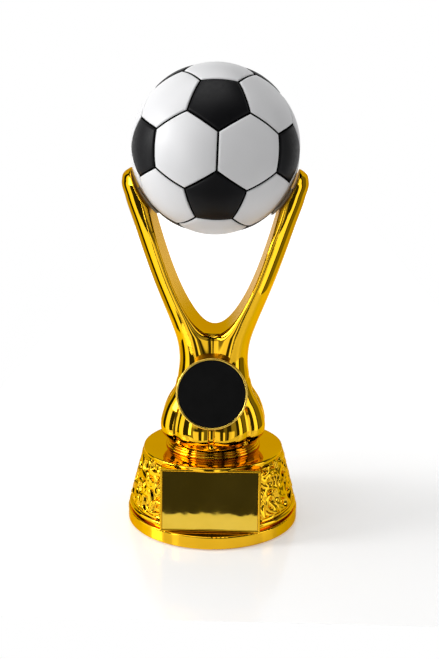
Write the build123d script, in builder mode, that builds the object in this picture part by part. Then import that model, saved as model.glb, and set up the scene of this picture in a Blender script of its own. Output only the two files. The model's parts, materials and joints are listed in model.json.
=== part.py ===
from build123d import *
import os
from itertools import combinations
from math import cos, radians, sin, sqrt, tan

# A football trophy: a ball glued between the arms of a two-armed fork, which stands on a
# fluted bulb, a collar ring and a round base with a nameplate. One threaded rod clamps
# the fork, the bulb, the collar and the base together.
# The table is Z = 0, the rod runs along Z, and the nameplate faces -Y.

# ---------------------------------------------------------------- driving dimensions, mm

WALL = 1.8  # moulded plastic wall
GAP = 0.05  # between parts that are slid or pressed together

BALL_RADIUS = 31.3
BALL_HEIGHT = 144.3  # ball centre above the table
PANEL_THICKNESS = 1.4
SEAM = 0.7  # between two panels
SEAM_ROUND = 0.5  # rounding of a panel's outer edge
BALL_AXIS_YAW = 3.2  # the two-fold axis of the ball's pattern, degrees from -Y
BALL_AXIS_PITCH = -2.7
BALL_AXIS_ROLL = 1.8
SEAT_CLEARANCE = 0.45  # adhesive between ball and fork
SEAT_PAD_WIDTH = 9.0

# Each arm station: height, centre from the rod axis, half width, half depth
ARM_STATIONS = [
    (57.5, 4.6, 9.3, 12.6),
    (64.5, 5.0, 8.2, 11.8),
    (72.0, 6.2, 7.8, 12.2),
    (79.0, 8.2, 8.1, 12.8),
    (87.0, 11.6, 7.9, 13.0),
    (96.0, 15.5, 7.5, 13.0),
    (106.0, 19.1, 7.4, 12.8),
    (117.0, 22.8, 7.3, 12.1),
    (127.0, 26.0, 7.4, 10.9),
    (133.0, 27.7, 6.9, 9.4),
    (136.0, 27.9, 5.6, 7.2),
    (137.9, 28.3, 2.4, 3.6),
]
CAVITY_STATIONS = 9  # the arms are solid above this many stations
NECK_BOTTOM = ARM_STATIONS[0][0]
CROTCH_HEIGHT = 76.7
BRIDGE_HALF_DEPTH = 10.9  # of the web that fills the neck between the arms
BRIDGE_STATIONS = 5  # arm stations, from the lowest, that the web joins
# The inner side of the V, from the crotch upwards: distance from the rod axis, height
V_OUTLINE = [(5.3, 78.4), (10.8, 85.7), (15.1, 95.3), (18.3, 104.9), (22.0, 116.6)]
V_RISE = 30.0  # the straight sides go on this far above the outline's last point
V_TANGENTS = [(1, 0), (0.31, 1)]  # at the crotch and at the outline's last point

NECK_FLOOR = 3.0  # thickness of the floor that carries the boss
NECK_BOSS_RADIUS = 7.4
NECK_BOSS_TOP = 72.0

COLLAR_BOTTOM = 29.9
BULB_BOTTOM = 32.5
BULB_TOP = NECK_BOTTOM
BULB_NECK_RADIUS = 13.9
# Outer profile of the bulb above its foot: radius, height
BULB_PROFILE = [(21.0, 39.0), (18.6, 48.0), (15.8, 52.7), (BULB_NECK_RADIUS, BULB_TOP)]
BULB_FOOT_RADIUS = 17.6
BULB_TANGENTS = [(0.9, 1), (-0.15, 1)]  # at the foot and at the top
LOBES = 8
CREASE_WIDTH = 1.6
CREASE_DEPTH = 0.7

COLLAR_RADIUS = 18.4
COLLAR_BORE = 9.0

MEDALLION_DIAMETER = 25.0  # standard 1 inch centre
MEDALLION_RIM = 0.9
MEDALLION_HEIGHT = 56.0  # centre of the front face
MEDALLION_REACH = 18.6  # front face centre ahead of the rod axis
MEDALLION_LEAN = 15.0  # degrees back from upright
MEDALLION_DRUM = 9.0  # depth of the holder before it is cut to the bulb and neck
INSERT_THICKNESS = 0.8
INSERT_PAD_THICKNESS = 0.2
INSERT_RECESS = 1.2
INSERT_CHAMFER = 0.15
INSERT_PAD_INSET = 1.0  # the pad's edge inside the insert's

DISC_RADIUS = 27.2  # top of the base
DISC_TOP = COLLAR_BOTTOM
DISC_THICKNESS = 1.7
DISC_EDGE_ROUND = 0.6
CONE_BOTTOM_RADIUS = 32.0
CONE_TOP_RADIUS = 26.8
CONE_BOTTOM = 8.3
BASE_TOP_WALL = 2.5

FOOT_RADIUS = 33.5
FOOT_BOTTOM = 0.4
FLANGE_TOP = 5.4
FLANGE_WALL = 2.2
FLANGE_ROUND = 0.5
SHELF_BORE = 21.8
SHELF_THICKNESS = 2.0
UPSTAND_RADIUS = 31.6
BEAD_RADIUS = 1.1
BEAD_CENTRE = (31.9, 7.0)  # radius, height

FRAME_WIDTH = 37.4  # raised frame of the nameplate
FRAME_HEIGHT = 23.8
FRAME_BORDER = 0.9
FRAME_LEAN = 6.0  # degrees back from upright
FRAME_REACH = 28.9  # lower edge ahead of the rod axis
FRAME_BOTTOM = FLANGE_TOP
FRAME_BLOCK_DEPTH = 17.0
PLATE_THICKNESS = 0.5
PLATE_ADHESIVE = 0.15
PLATE_RECESS = 0.85
ADHESIVE_INSET = 0.9  # the adhesive's edge inside the plate's

ROD_RADIUS = 3.0  # M6
ROD_CLEARANCE = 0.3
ROD_TOP = 70.5
ROD_BELOW_NUT = 1.4
ROD_CHAMFER = 0.5
NUT_WIDTH = 10.0  # across flats
NUT_HEIGHT = 5.0
NUT_CHAMFER = 0.6
CAPTIVE_NUT_BOTTOM = 62.0
WASHER_RADIUS = 6.0
WASHER_THICKNESS = 1.6
LOCK_WASHER_RADIUS = 5.3
LOCK_WASHER_THICKNESS = 1.4
LOCK_WASHER_SPLIT = 0.6

COVER_BOTTOM = 1.2
COVER_THICKNESS = 1.6
COVER_RADIUS = 31.2
FELT_RADIUS = 30.6

WEIGHT_RADIUS = 20.5
WEIGHT_HEIGHT = 12.0
WEIGHT_BORE = 7.0
WEIGHT_CHAMFER = 1.0

SCREW_COUNT = 3
SCREW_CIRCLE = 26.0
SCREW_START = 90  # degrees from +X to the first screw
SCREW_RADIUS = 1.5  # M3
SCREW_HEAD_RADIUS = 2.8
SCREW_HEAD_HEIGHT = 1.3
SCREW_TOP = 13.5
SCREW_RECESS_RADIUS = 1.0
SCREW_BOSS_RADIUS = 2.8
SCREW_BOSS_TOP = 15.5

os.makedirs("parts", exist_ok=True)


def write(builder, label):
    """Labels a finished piece and writes its STEP file."""
    builder.part.label = label
    export_step(builder.part, f"parts/{label}.step")


# ---------------------------------------------------------------- ball

GOLDEN = (1 + sqrt(5)) / 2
ICO_POINTS = [Vector(0, y * GOLDEN, z) for y in (-1, 1) for z in (-1, 1)]
ICO_POINTS += [Vector(x * GOLDEN, y, 0) for x in (-1, 1) for y in (-1, 1)]
ICO_POINTS += [Vector(x, 0, z * GOLDEN) for x in (-1, 1) for z in (-1, 1)]
ICO_EDGE = 2.0
BALL_TURN = Location((0, 0, BALL_HEIGHT), (BALL_AXIS_PITCH, BALL_AXIS_ROLL, BALL_AXIS_YAW))

PENTAGON_SPREAD = 0.36551  # corner distance over centre distance, for each flat panel
HEXAGON_SPREAD = 0.44106
PANEL_CUTTER_LOW = 0.8  # reach of a panel's side walls, over the radius at their ends
PANEL_CUTTER_HIGH = 1.1


def are_neighbours(a, b):
    return round((a - b).length - ICO_EDGE, 3) == 0


def pentagon_places():
    """One frame per pentagon: outwards along Z, with X towards a corner."""
    places = []
    for point in ICO_POINTS:
        corner = next(p for p in ICO_POINTS if are_neighbours(point, p))
        places.append(Plane(origin=(0, 0, 0), x_dir=corner - point, z_dir=point))
    return places


def hexagon_places():
    """One frame per hexagon: outwards along Z, with X towards a corner."""
    places = []
    for a, b, c in combinations(ICO_POINTS, 3):
        if are_neighbours(a, b) and are_neighbours(b, c) and are_neighbours(a, c):
            middle = (a + b + c) * (1 / 3)
            corner = (a * 2 + b) * (1 / 3)
            places.append(Plane(origin=(0, 0, 0), x_dir=corner - middle, z_dir=middle))
    return places


def make_panel(sides, spread):
    """A panel on the +Z pole of a ball at the origin, with its side walls facing the centre."""
    inner_radius = BALL_RADIUS - PANEL_THICKNESS
    inset = SEAM / 2 / cos(radians(180 / sides))
    with BuildPart() as panel:
        for height in (PANEL_CUTTER_LOW * inner_radius, PANEL_CUTTER_HIGH * BALL_RADIUS):
            with BuildSketch(Plane.XY.offset(height)):
                RegularPolygon(radius=height * spread - inset, side_count=sides)
        loft(ruled=True)
        Sphere(radius=BALL_RADIUS, mode=Mode.INTERSECT)
        Sphere(radius=inner_radius, mode=Mode.SUBTRACT)
        outer_face = panel.faces().sort_by(Axis.Z)[-1]
        fillet(outer_face.edges(), radius=SEAM_ROUND)
    return panel.part


def make_panels(sides, spread, places):
    panel = make_panel(sides, spread)
    with BuildPart() as panels:
        with Locations(*[BALL_TURN * place.location for place in places]):
            add(panel)
    return panels


ball_pentagon_panels = make_panels(5, PENTAGON_SPREAD, pentagon_places())
write(ball_pentagon_panels, "ball_pentagon_panels")

ball_hexagon_panels = make_panels(6, HEXAGON_SPREAD, hexagon_places())
write(ball_hexagon_panels, "ball_hexagon_panels")

CORE_RADIUS = BALL_RADIUS - PANEL_THICKNESS
CORE_INNER = CORE_RADIUS - WALL
LIP_HEIGHT = 3.0
LIP_WALL = 1.2

with BuildPart() as ball_upper_shell:
    with Locations((0, 0, BALL_HEIGHT)):
        Sphere(radius=CORE_RADIUS)
        Sphere(radius=CORE_INNER, mode=Mode.SUBTRACT)
    split(bisect_by=Plane.XY.offset(BALL_HEIGHT), keep=Keep.TOP)
write(ball_upper_shell, "ball_upper_shell")

with BuildPart() as ball_lower_shell:
    with Locations((0, 0, BALL_HEIGHT)):
        Sphere(radius=CORE_RADIUS)
        Sphere(radius=CORE_INNER, mode=Mode.SUBTRACT)
    split(bisect_by=Plane.XY.offset(BALL_HEIGHT), keep=Keep.BOTTOM)
    lip_radius = sqrt(CORE_INNER**2 - LIP_HEIGHT**2) - GAP
    with BuildSketch(Plane.XY.offset(BALL_HEIGHT + LIP_HEIGHT)):
        Circle(lip_radius)
        Circle(lip_radius - LIP_WALL, mode=Mode.SUBTRACT)
    extrude(amount=-3 * LIP_HEIGHT)
write(ball_lower_shell, "ball_lower_shell")

# ---------------------------------------------------------------- fork

SEAT_RADIUS = BALL_RADIUS + SEAT_CLEARANCE


def make_arm(shrink, stations):
    """The right arm as a closed loft, smaller by shrink all round."""
    with BuildPart() as arm:
        for height, centre, half_width, half_depth in stations:
            with BuildSketch(Plane.XY.offset(height)):
                with Locations((centre, 0)):
                    Ellipse(half_depth - shrink, half_width - shrink, rotation=90)
        loft()
    return arm.part


def make_bridge(shrink, stations):
    """The flat web between the axes of both arms."""
    with BuildPart() as bridge:
        for height, centre, _, _ in stations[:BRIDGE_STATIONS]:
            with BuildSketch(Plane.XY.offset(height)):
                Rectangle(2 * centre, 2 * (BRIDGE_HALF_DEPTH - shrink))
        loft(ruled=True)
    return bridge.part


def make_fork_body(shrink, stations):
    """Both arms with the neck between them, and the V and the ball's seat cut out."""
    arm = make_arm(shrink, stations)
    with BuildPart() as body:
        add(arm)
        mirror(about=Plane.YZ)
        add(make_bridge(shrink, stations))
        with BuildSketch(Plane.XZ):
            with BuildLine():
                crotch = (0, CROTCH_HEIGHT - shrink)
                inner_side = [(reach + shrink, height - shrink / 3) for reach, height in V_OUTLINE]
                side = Spline(crotch, *inner_side, tangents=V_TANGENTS)
                flare = Line(side @ 1, (side @ 1) + (side % 1) * V_RISE)
                Line(flare @ 1, (0, (flare @ 1).Y))
                mirror(about=Plane.YZ)
            make_face()
        extrude(amount=FOOT_RADIUS, both=True, mode=Mode.SUBTRACT)
        with Locations((0, 0, BALL_HEIGHT)):
            Cylinder(SEAT_RADIUS + shrink, 2 * FOOT_RADIUS, rotation=(90, 0, 0), mode=Mode.SUBTRACT)
    return body.part


def halves(body):
    """The front and rear shells of a body that is parted along the plane Y = 0."""
    with BuildPart() as front:
        add(body)
        split(bisect_by=Plane.XZ, keep=Keep.TOP)
    with BuildPart() as rear:
        add(body)
        split(bisect_by=Plane.XZ, keep=Keep.BOTTOM)
    return front, rear


fork_outside = make_fork_body(0, ARM_STATIONS)

with BuildPart() as fork_cavity:
    add(make_fork_body(WALL, ARM_STATIONS[:CAVITY_STATIONS]))
    split(bisect_by=Plane.XY.offset(NECK_BOTTOM + NECK_FLOOR), keep=Keep.TOP)

with BuildPart() as fork:
    add(fork_outside)
    add(fork_cavity.part, mode=Mode.SUBTRACT)
    with BuildSketch(Plane.XY.offset(NECK_BOTTOM)):
        Circle(NECK_BOSS_RADIUS)
    extrude(amount=NECK_BOSS_TOP - NECK_BOTTOM)
    with BuildSketch(Plane.XY.offset(NECK_BOTTOM)):
        Circle(ROD_RADIUS + ROD_CLEARANCE)
    extrude(amount=NECK_BOSS_TOP - NECK_BOTTOM, mode=Mode.SUBTRACT)
    with BuildSketch(Plane.XY.offset(CAPTIVE_NUT_BOTTOM)):
        RegularPolygon(radius=NUT_WIDTH / 2 + GAP, side_count=6, major_radius=False)
    extrude(amount=NUT_HEIGHT, mode=Mode.SUBTRACT)

fork_front_shell, fork_rear_shell = halves(fork.part)
write(fork_front_shell, "fork_front_shell")
write(fork_rear_shell, "fork_rear_shell")

with BuildPart() as ball_seat_pads:
    with Locations((0, 0, BALL_HEIGHT)):
        Cylinder(SEAT_RADIUS, SEAT_PAD_WIDTH, rotation=(90, 0, 0))
        Sphere(BALL_RADIUS, mode=Mode.SUBTRACT)
    with Locations((0, 0, V_OUTLINE[-1][1] + SEAT_PAD_WIDTH)):
        Box(3 * BALL_RADIUS, SEAT_PAD_WIDTH, SEAT_PAD_WIDTH, mode=Mode.INTERSECT)
write(ball_seat_pads, "ball_seat_pads")

# ---------------------------------------------------------------- bulb and collar


def bulb_outline(shrink):
    """Half section of the bulb in the XZ plane, smaller by shrink at its outside."""
    with BuildSketch(Plane.XZ) as section:
        with BuildLine():
            foot = (BULB_FOOT_RADIUS - shrink, BULB_BOTTOM)
            profile = [(radius - shrink, height) for radius, height in BULB_PROFILE]
            side = Spline(foot, *profile, tangents=BULB_TANGENTS)
            Polyline(side @ 1, (0, BULB_TOP), (0, BULB_BOTTOM), foot)
        make_face()
    return section.sketch


with BuildPart() as bulb_envelope:
    add(bulb_outline(0))
    revolve(axis=Axis.Z)

with BuildPart() as crease:
    with BuildSketch(Plane.XZ):
        add(bulb_outline(0).face())
        add(bulb_outline(CREASE_DEPTH).face(), mode=Mode.SUBTRACT)
    extrude(amount=CREASE_WIDTH / 2, both=True)

with BuildPart() as fluted_bulb:
    add(bulb_envelope.part)
    add(bulb_outline(WALL + CREASE_DEPTH))
    revolve(axis=Axis.Z, mode=Mode.SUBTRACT)
    with BuildSketch(Plane.XY.offset(BULB_TOP)):
        Circle(BULB_NECK_RADIUS)
    extrude(amount=-2 * WALL)
    with BuildSketch(Plane.XY.offset(BULB_BOTTOM)):
        Circle(BULB_FOOT_RADIUS)
        Circle(NECK_BOSS_RADIUS, mode=Mode.SUBTRACT)
    extrude(amount=WALL)
    with BuildSketch(Plane.XY.offset(BULB_BOTTOM)):
        Circle(NECK_BOSS_RADIUS)
    extrude(amount=BULB_TOP - BULB_BOTTOM)
    with BuildSketch(Plane.XY.offset(BULB_BOTTOM)):
        Circle(ROD_RADIUS + ROD_CLEARANCE)
    extrude(amount=BULB_TOP - BULB_BOTTOM, mode=Mode.SUBTRACT)
    with PolarLocations(0, LOBES):
        add(crease.part, mode=Mode.SUBTRACT)
write(fluted_bulb, "fluted_bulb")

with BuildPart() as collar_ring:
    with BuildSketch(Plane.XZ):
        step = (BULB_BOTTOM - COLLAR_BOTTOM) / 2
        with Locations((COLLAR_BORE, COLLAR_BOTTOM)):
            width = COLLAR_RADIUS - step / 2 - COLLAR_BORE
            Rectangle(width, 2 * step, align=(Align.MIN, Align.MIN))
        with Locations((COLLAR_RADIUS - step / 2, COLLAR_BOTTOM + step / 2)):
            Circle(step / 2)
        with Locations((COLLAR_RADIUS - step, COLLAR_BOTTOM + 3 * step / 2)):
            Circle(step / 2)
    revolve(axis=Axis.Z)
write(collar_ring, "collar_ring")

# ---------------------------------------------------------------- medallion

medallion_facing = Vector(0, -cos(radians(MEDALLION_LEAN)), sin(radians(MEDALLION_LEAN)))
medallion_plane = Plane((0, -MEDALLION_REACH, MEDALLION_HEIGHT), (1, 0, 0), medallion_facing)
INSERT_RADIUS = MEDALLION_DIAMETER / 2

with BuildPart() as medallion_holder:
    with BuildSketch(medallion_plane):
        Circle(INSERT_RADIUS + MEDALLION_RIM)
    extrude(amount=-MEDALLION_DRUM)
    with BuildSketch(medallion_plane):
        Circle(INSERT_RADIUS + GAP)
    extrude(amount=-INSERT_RECESS, mode=Mode.SUBTRACT)
    add(bulb_envelope.part, mode=Mode.SUBTRACT)
    add(fork_outside, mode=Mode.SUBTRACT)
write(medallion_holder, "medallion_holder")

with BuildPart() as medallion_pad:
    with BuildSketch(medallion_plane.offset(-INSERT_RECESS)):
        Circle(INSERT_RADIUS - INSERT_PAD_INSET)
    extrude(amount=INSERT_PAD_THICKNESS)
write(medallion_pad, "medallion_pad")

with BuildPart() as medallion_insert:
    with BuildSketch(medallion_plane.offset(INSERT_PAD_THICKNESS - INSERT_RECESS)):
        Circle(INSERT_RADIUS)
    extrude(amount=INSERT_THICKNESS)
    chamfer(medallion_insert.edges().sort_by(Axis.Y)[0], length=INSERT_CHAMFER)
write(medallion_insert, "medallion_insert")

# ---------------------------------------------------------------- base

frame_facing = Vector(0, -cos(radians(FRAME_LEAN)), sin(radians(FRAME_LEAN)))
frame_plane = Plane((0, -FRAME_REACH, FRAME_BOTTOM), (1, 0, 0), frame_facing)
frame_up = Vector(0, sin(radians(FRAME_LEAN)), cos(radians(FRAME_LEAN)))
plate_plane = Plane(frame_plane.origin + frame_up * (FRAME_HEIGHT / 2), (1, 0, 0), frame_facing)
FRAME_TOP = FRAME_BOTTOM + FRAME_HEIGHT * cos(radians(FRAME_LEAN))
FRAME_TOP_REACH = FRAME_REACH - FRAME_HEIGHT * sin(radians(FRAME_LEAN))
FRAME_BACK = FRAME_REACH - FRAME_BLOCK_DEPTH
FRAME_FLUSH_REACH = FRAME_REACH - (DISC_TOP - FRAME_BOTTOM) * tan(radians(FRAME_LEAN))


def make_frame_block(outline):
    """A block as wide as the nameplate's frame. Outline: reach ahead of the rod axis, height."""
    with BuildPart() as block:
        with BuildSketch(Plane.YZ):
            with BuildLine():
                Polyline(*[(-reach, height) for reach, height in outline], close=True)
            make_face()
        extrude(amount=FRAME_WIDTH / 2, both=True)
    return block.part


frame_block = make_frame_block(
    [
        (FRAME_REACH, FRAME_BOTTOM),
        (FRAME_TOP_REACH, FRAME_TOP),
        (FRAME_BACK, FRAME_TOP),
        (FRAME_BACK, FRAME_BOTTOM),
    ]
)
frame_clearance = make_frame_block(
    [
        (FRAME_REACH, FRAME_BOTTOM),
        (FRAME_FLUSH_REACH, DISC_TOP),
        (FRAME_REACH + FRAME_BLOCK_DEPTH, DISC_TOP),
        (FRAME_REACH + FRAME_BLOCK_DEPTH, FRAME_BOTTOM),
    ]
)
INSIDE_TOP = DISC_TOP - BASE_TOP_WALL

with BuildPart() as base_hollow:
    with BuildSketch(Plane.XZ):
        with BuildLine():
            Polyline(
                (0, FRAME_BOTTOM),
                (CONE_BOTTOM_RADIUS - WALL, FRAME_BOTTOM),
                (CONE_BOTTOM_RADIUS - WALL, CONE_BOTTOM),
                (CONE_TOP_RADIUS - WALL, INSIDE_TOP),
                (0, INSIDE_TOP),
                close=True,
            )
        make_face()
    revolve(axis=Axis.Z)
    split(bisect_by=frame_plane.offset(-PLATE_RECESS - WALL), keep=Keep.BOTTOM)

with BuildPart() as base_body:
    with BuildSketch(Plane.XZ) as base_section:
        with BuildLine():
            Polyline(
                (0, CONE_BOTTOM),
                (CONE_BOTTOM_RADIUS, CONE_BOTTOM),
                (CONE_TOP_RADIUS, DISC_TOP - DISC_THICKNESS),
                (DISC_RADIUS, DISC_TOP - DISC_THICKNESS),
                (DISC_RADIUS, DISC_TOP),
                (0, DISC_TOP),
                close=True,
            )
        make_face()
        disc_corner = base_section.vertices().group_by(Axis.Y)[-1].sort_by(Axis.X)[-1]
        fillet(disc_corner, radius=DISC_EDGE_ROUND)
    revolve(axis=Axis.Z)
    add(frame_clearance, mode=Mode.SUBTRACT)
    add(frame_block)
    add(base_hollow.part, mode=Mode.SUBTRACT)
    with BuildSketch(plate_plane):
        Rectangle(FRAME_WIDTH - 2 * FRAME_BORDER, FRAME_HEIGHT - 2 * FRAME_BORDER)
    extrude(amount=-PLATE_RECESS, mode=Mode.SUBTRACT)
    with BuildSketch(Plane.XY.offset(FLANGE_TOP)):
        with PolarLocations(SCREW_CIRCLE, SCREW_COUNT, start_angle=SCREW_START):
            Circle(SCREW_BOSS_RADIUS)
    extrude(amount=SCREW_BOSS_TOP - FLANGE_TOP)
    with BuildSketch(Plane.XY.offset(FLANGE_TOP)):
        with PolarLocations(SCREW_CIRCLE, SCREW_COUNT, start_angle=SCREW_START):
            Circle(SCREW_RADIUS + GAP)
    extrude(amount=SCREW_TOP - FLANGE_TOP, mode=Mode.SUBTRACT)
    with BuildSketch(Plane.XY.offset(INSIDE_TOP)):
        Circle(ROD_RADIUS + ROD_CLEARANCE)
    extrude(amount=BASE_TOP_WALL, mode=Mode.SUBTRACT)
write(base_body, "base_body")

with BuildPart() as base_foot:
    with BuildSketch(Plane.XZ) as foot_section:
        flange_bore = FOOT_RADIUS - FLANGE_WALL
        with Locations((flange_bore, FOOT_BOTTOM)):
            Rectangle(FLANGE_WALL, FLANGE_TOP - FOOT_BOTTOM, align=(Align.MIN, Align.MIN))
        fillet(foot_section.vertices().sort_by(Axis.X)[-2:], radius=FLANGE_ROUND)
        with Locations((SHELF_BORE, FLANGE_TOP - SHELF_THICKNESS)):
            shelf_width = flange_bore - SHELF_BORE
            Rectangle(shelf_width, SHELF_THICKNESS, align=(Align.MIN, Align.MIN))
        with Locations((UPSTAND_RADIUS, FLANGE_TOP)):
            Rectangle(WALL, CONE_BOTTOM - FLANGE_TOP, align=(Align.MAX, Align.MIN))
        with Locations(BEAD_CENTRE):
            Circle(BEAD_RADIUS)
    revolve(axis=Axis.Z)
    add(frame_clearance, mode=Mode.SUBTRACT)
    add(frame_block, mode=Mode.SUBTRACT)
    with BuildSketch(Plane.XY.offset(FLANGE_TOP)):
        with PolarLocations(SCREW_CIRCLE, SCREW_COUNT, start_angle=SCREW_START):
            Circle(SCREW_RADIUS + GAP)
    extrude(amount=-SHELF_THICKNESS, mode=Mode.SUBTRACT)
write(base_foot, "base_foot")

with BuildPart() as nameplate_adhesive:
    with BuildSketch(plate_plane.offset(-PLATE_RECESS)):
        inset = 2 * (FRAME_BORDER + ADHESIVE_INSET)
        Rectangle(FRAME_WIDTH - inset, FRAME_HEIGHT - inset)
    extrude(amount=PLATE_ADHESIVE)
write(nameplate_adhesive, "nameplate_adhesive")

with BuildPart() as nameplate:
    with BuildSketch(plate_plane.offset(PLATE_ADHESIVE - PLATE_RECESS)):
        plate_width = FRAME_WIDTH - 2 * FRAME_BORDER - 2 * GAP
        plate_height = FRAME_HEIGHT - 2 * FRAME_BORDER - 2 * GAP
        Rectangle(plate_width, plate_height)
    extrude(amount=PLATE_THICKNESS)
write(nameplate, "nameplate")

# ---------------------------------------------------------------- rod, nuts and washers

WASHER_BOTTOM = INSIDE_TOP - WASHER_THICKNESS
LOCK_WASHER_BOTTOM = WASHER_BOTTOM - LOCK_WASHER_THICKNESS
BASE_NUT_BOTTOM = LOCK_WASHER_BOTTOM - NUT_HEIGHT
ROD_BOTTOM = BASE_NUT_BOTTOM - ROD_BELOW_NUT

with BuildPart() as threaded_rod:
    with BuildSketch(Plane.XY.offset(ROD_BOTTOM)):
        Circle(ROD_RADIUS)
    extrude(amount=ROD_TOP - ROD_BOTTOM)
    chamfer(threaded_rod.edges().filter_by(GeomType.CIRCLE), length=ROD_CHAMFER)
write(threaded_rod, "threaded_rod")


def make_nut(bottom):
    with BuildPart() as nut:
        with BuildSketch(Plane.XY.offset(bottom)):
            RegularPolygon(radius=NUT_WIDTH / 2, side_count=6, major_radius=False)
            Circle(ROD_RADIUS + GAP, mode=Mode.SUBTRACT)
        extrude(amount=NUT_HEIGHT)
        chamfer(nut.edges().filter_by(GeomType.CIRCLE), length=NUT_CHAMFER)
    return nut


fork_nut = make_nut(CAPTIVE_NUT_BOTTOM)
write(fork_nut, "fork_nut")

base_nut = make_nut(BASE_NUT_BOTTOM)
write(base_nut, "base_nut")

with BuildPart() as base_washer:
    with BuildSketch(Plane.XY.offset(WASHER_BOTTOM)):
        Circle(WASHER_RADIUS)
        Circle(ROD_RADIUS + ROD_CLEARANCE, mode=Mode.SUBTRACT)
    extrude(amount=WASHER_THICKNESS)
write(base_washer, "base_washer")

with BuildPart() as lock_washer:
    with BuildSketch(Plane.XY.offset(LOCK_WASHER_BOTTOM)):
        Circle(LOCK_WASHER_RADIUS)
        Circle(ROD_RADIUS + ROD_CLEARANCE, mode=Mode.SUBTRACT)
        with Locations((LOCK_WASHER_RADIUS, 0)):
            Rectangle(LOCK_WASHER_RADIUS, LOCK_WASHER_SPLIT, mode=Mode.SUBTRACT)
    extrude(amount=LOCK_WASHER_THICKNESS)
write(lock_washer, "lock_washer")

# ---------------------------------------------------------------- ballast and underside

COVER_TOP = COVER_BOTTOM + COVER_THICKNESS

with BuildPart() as base_weight:
    with BuildSketch(Plane.XY.offset(COVER_TOP)):
        Circle(WEIGHT_RADIUS)
        Circle(WEIGHT_BORE, mode=Mode.SUBTRACT)
    extrude(amount=WEIGHT_HEIGHT)
    chamfer(base_weight.edges().filter_by(GeomType.CIRCLE), length=WEIGHT_CHAMFER)
write(base_weight, "base_weight")


def screw_outline(extra):
    """Half section of one countersunk screw on the Z axis, larger by extra at its sides."""
    with BuildSketch(Plane.XZ) as section:
        with BuildLine():
            Polyline(
                (0, COVER_BOTTOM),
                (SCREW_HEAD_RADIUS + extra, COVER_BOTTOM),
                (SCREW_RADIUS + extra, COVER_BOTTOM + SCREW_HEAD_HEIGHT),
                (SCREW_RADIUS + extra, SCREW_TOP - SCREW_RADIUS),
                (0, SCREW_TOP),
                close=True,
            )
        make_face()
    return section.sketch


with BuildPart() as screw:
    add(screw_outline(0))
    revolve(axis=Axis.Z)
    with BuildSketch(Plane.XY.offset(COVER_BOTTOM)):
        RegularPolygon(radius=SCREW_RECESS_RADIUS, side_count=6)
    extrude(amount=SCREW_HEAD_HEIGHT, mode=Mode.SUBTRACT)

with BuildPart() as screw_hole:
    add(screw_outline(GAP))
    revolve(axis=Axis.Z)

with BuildPart() as cover_screws:
    with PolarLocations(SCREW_CIRCLE, SCREW_COUNT, start_angle=SCREW_START):
        add(screw.part)
write(cover_screws, "cover_screws")

with BuildPart() as bottom_cover:
    with BuildSketch(Plane.XY.offset(COVER_BOTTOM)):
        Circle(COVER_RADIUS)
    extrude(amount=COVER_THICKNESS)
    with PolarLocations(SCREW_CIRCLE, SCREW_COUNT, start_angle=SCREW_START):
        add(screw_hole.part, mode=Mode.SUBTRACT)
write(bottom_cover, "bottom_cover")

with BuildPart() as felt_pad:
    with BuildSketch():
        Circle(FELT_RADIUS)
    extrude(amount=COVER_BOTTOM)
write(felt_pad, "felt_pad")
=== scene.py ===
import json
import math

import bmesh
import bpy
import numpy as np
from mathutils import Matrix, Vector


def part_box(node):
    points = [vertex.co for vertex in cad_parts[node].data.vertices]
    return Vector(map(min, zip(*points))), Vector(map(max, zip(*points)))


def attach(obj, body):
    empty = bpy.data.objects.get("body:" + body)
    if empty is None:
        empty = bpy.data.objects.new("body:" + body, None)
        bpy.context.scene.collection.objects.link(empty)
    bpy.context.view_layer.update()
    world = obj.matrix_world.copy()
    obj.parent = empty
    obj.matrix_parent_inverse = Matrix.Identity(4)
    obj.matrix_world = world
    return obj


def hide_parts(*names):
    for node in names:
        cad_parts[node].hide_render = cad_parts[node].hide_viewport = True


# The football trophy in a white studio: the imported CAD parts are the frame, and the pieces
# whose surface has to be finer than the CAD's are made here and stand for their nodes.
# Blender works in metres. Shapes are worked out in millimetres and scaled by MM at the end.

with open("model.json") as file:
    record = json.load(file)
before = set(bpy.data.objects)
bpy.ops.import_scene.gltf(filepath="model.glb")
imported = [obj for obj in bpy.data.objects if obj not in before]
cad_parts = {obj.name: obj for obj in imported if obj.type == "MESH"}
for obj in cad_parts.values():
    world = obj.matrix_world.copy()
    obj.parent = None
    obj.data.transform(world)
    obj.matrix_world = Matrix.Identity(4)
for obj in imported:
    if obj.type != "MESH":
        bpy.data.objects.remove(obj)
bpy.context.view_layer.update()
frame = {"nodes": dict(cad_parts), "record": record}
nodes = frame["nodes"]
MM = 0.001


def box_mm(node):
    """Lowest and highest corner of a CAD node in millimetres."""
    low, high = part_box(node)
    return np.array(low) / MM, np.array(high) / MM


# ---------------------------------------------------------------- camera

CAMERA_DISTANCE = 0.3725  # from the rod axis, over the table
CAMERA_HEIGHT = 0.1683
CAMERA_AZIMUTH = 2.0  # degrees towards +X
CAMERA_PITCH = 13.9  # degrees down
CAMERA_YAW = 0.325  # degrees to the right of the rod axis
CAMERA_ROLL = 0.55  # degrees, the scene leans right
FOCAL_LENGTH = 54.6
SENSOR = 36.0


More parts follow.
